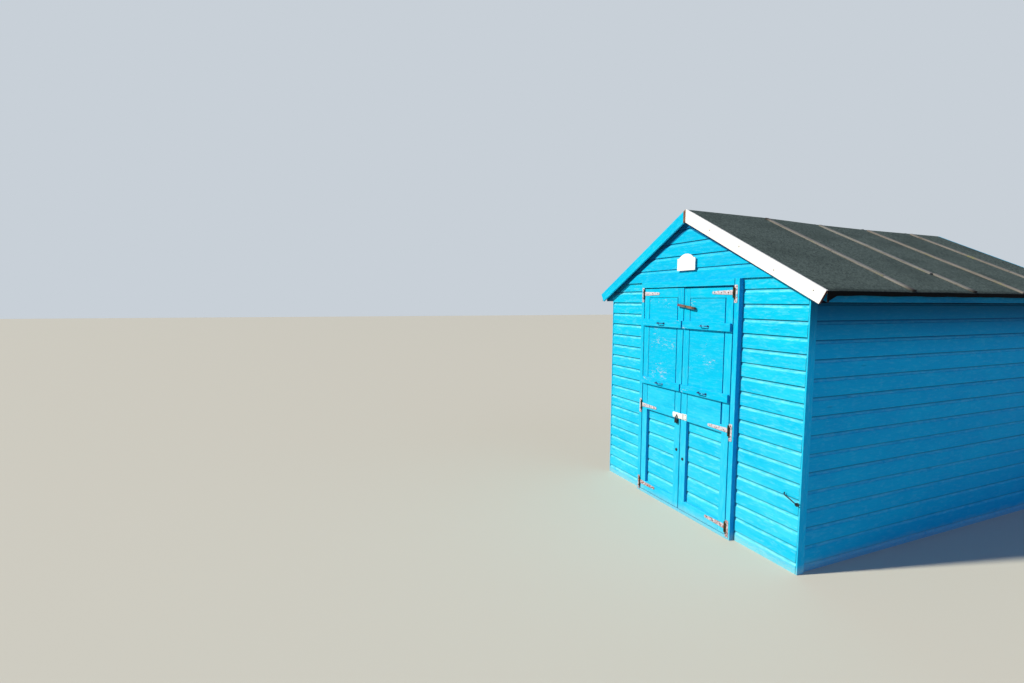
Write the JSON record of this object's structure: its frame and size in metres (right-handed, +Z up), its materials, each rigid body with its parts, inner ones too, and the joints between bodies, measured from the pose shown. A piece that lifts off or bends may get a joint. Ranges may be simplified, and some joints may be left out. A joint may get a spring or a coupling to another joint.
{
  "type": "beach hut",
  "caption": "Timber beach hut with shiplap walls, a felted gable roof held down by battens, and a pair of framed front doors with shutters, hasp and turn button.",
  "frame": {"origin": "on the underside of the middle floor joist, at the centre of the footprint", "axes": "+X to the right across the front, +Y from the front to the back, +Z up"},
  "size_m": [2.726, 3.8183, 2.8015],
  "materials": {
    "painted_boards": "worn matt blue paint on overlapping boards",
    "painted_joinery": "worn matt blue paint on planed timber",
    "white_paint": "worn white paint on planed timber",
    "frame_timber": "bare sawn softwood",
    "floor_boards": "worn bare boards",
    "weathered_batten": "silvered bare timber",
    "roof_felt": "mineral felt, grey-green grit",
    "galvanised_steel": "galvanised with rust and old paint",
    "rusty_iron": "rusted",
    "weathered_button": "bare weathered timber"
  },
  "bodies": {
    "hut": {"floor_joists": "frame_timber", "floor_deck": "floor_boards", "door_sill": "painted_joinery", "door_head": "painted_joinery", "left_jamb": "painted_joinery", "right_jamb": "painted_joinery", "left_front_wall": "painted_boards", "right_front_wall": "painted_boards", "left_front_frame": "frame_timber", "right_front_frame": "frame_timber", "front_gable": "painted_boards", "lintel": "frame_timber", "left_wall": "painted_boards", "right_wall": "painted_boards", "left_side_frame": "frame_timber", "right_side_frame": "frame_timber", "back_wall": "painted_boards", "back_frame": "frame_timber", "corner_boards": "painted_joinery", "ridge_beam": "frame_timber", "left_rafters": "frame_timber", "right_rafters": "frame_timber", "left_roof_deck": "frame_timber", "right_roof_deck": "frame_timber", "left_roof_felt": "roof_felt", "right_roof_felt": "roof_felt", "roof_battens": "weathered_batten", "left_barge_board": "painted_joinery", "right_barge_board": "white_paint", "back_barge_boards": "painted_joinery", "eaves_fascias": "painted_joinery", "sign_plate": "white_paint", "holdback_hook": "rusty_iron", "hinge_plates": "galvanised_steel"},
    "right_door": {"right_door_boards": "painted_boards", "right_door_frame": "painted_joinery", "right_shutters": "painted_joinery", "right_handles": "galvanised_steel", "right_hinge_straps": "galvanised_steel", "hasp": "galvanised_steel", "padlock": "rusty_iron"},
    "left_door": {"left_door_boards": "painted_boards", "left_door_frame": "painted_joinery", "left_shutters": "painted_joinery", "left_handles": "galvanised_steel", "left_hinge_straps": "galvanised_steel"},
    "turn_button": {"turn_button": "weathered_button"}
  },
  "joints": [
    {"name": "right_door_hinge", "type": "hinge", "parent": "hut", "child": "right_door", "pos_m": [0.5755, -1.881, 1], "axis": [0, 0, 1], "range_deg": [0, 115]},
    {"name": "left_door_hinge", "type": "hinge", "parent": "hut", "child": "left_door", "pos_m": [-0.5755, -1.881, 1], "axis": [0, 0, -1], "range_deg": [0, 115]},
    {"name": "turn_button_pivot", "type": "hinge", "parent": "right_door", "child": "turn_button", "pos_m": [0.047, -1.89, 1.929], "axis": [0, 1, 0], "range_deg": [-98, 82]}
  ],
  "couplings": [
    {"joint": "left_door_hinge", "follows": "right_door_hinge", "ratio": 1}
  ]
}
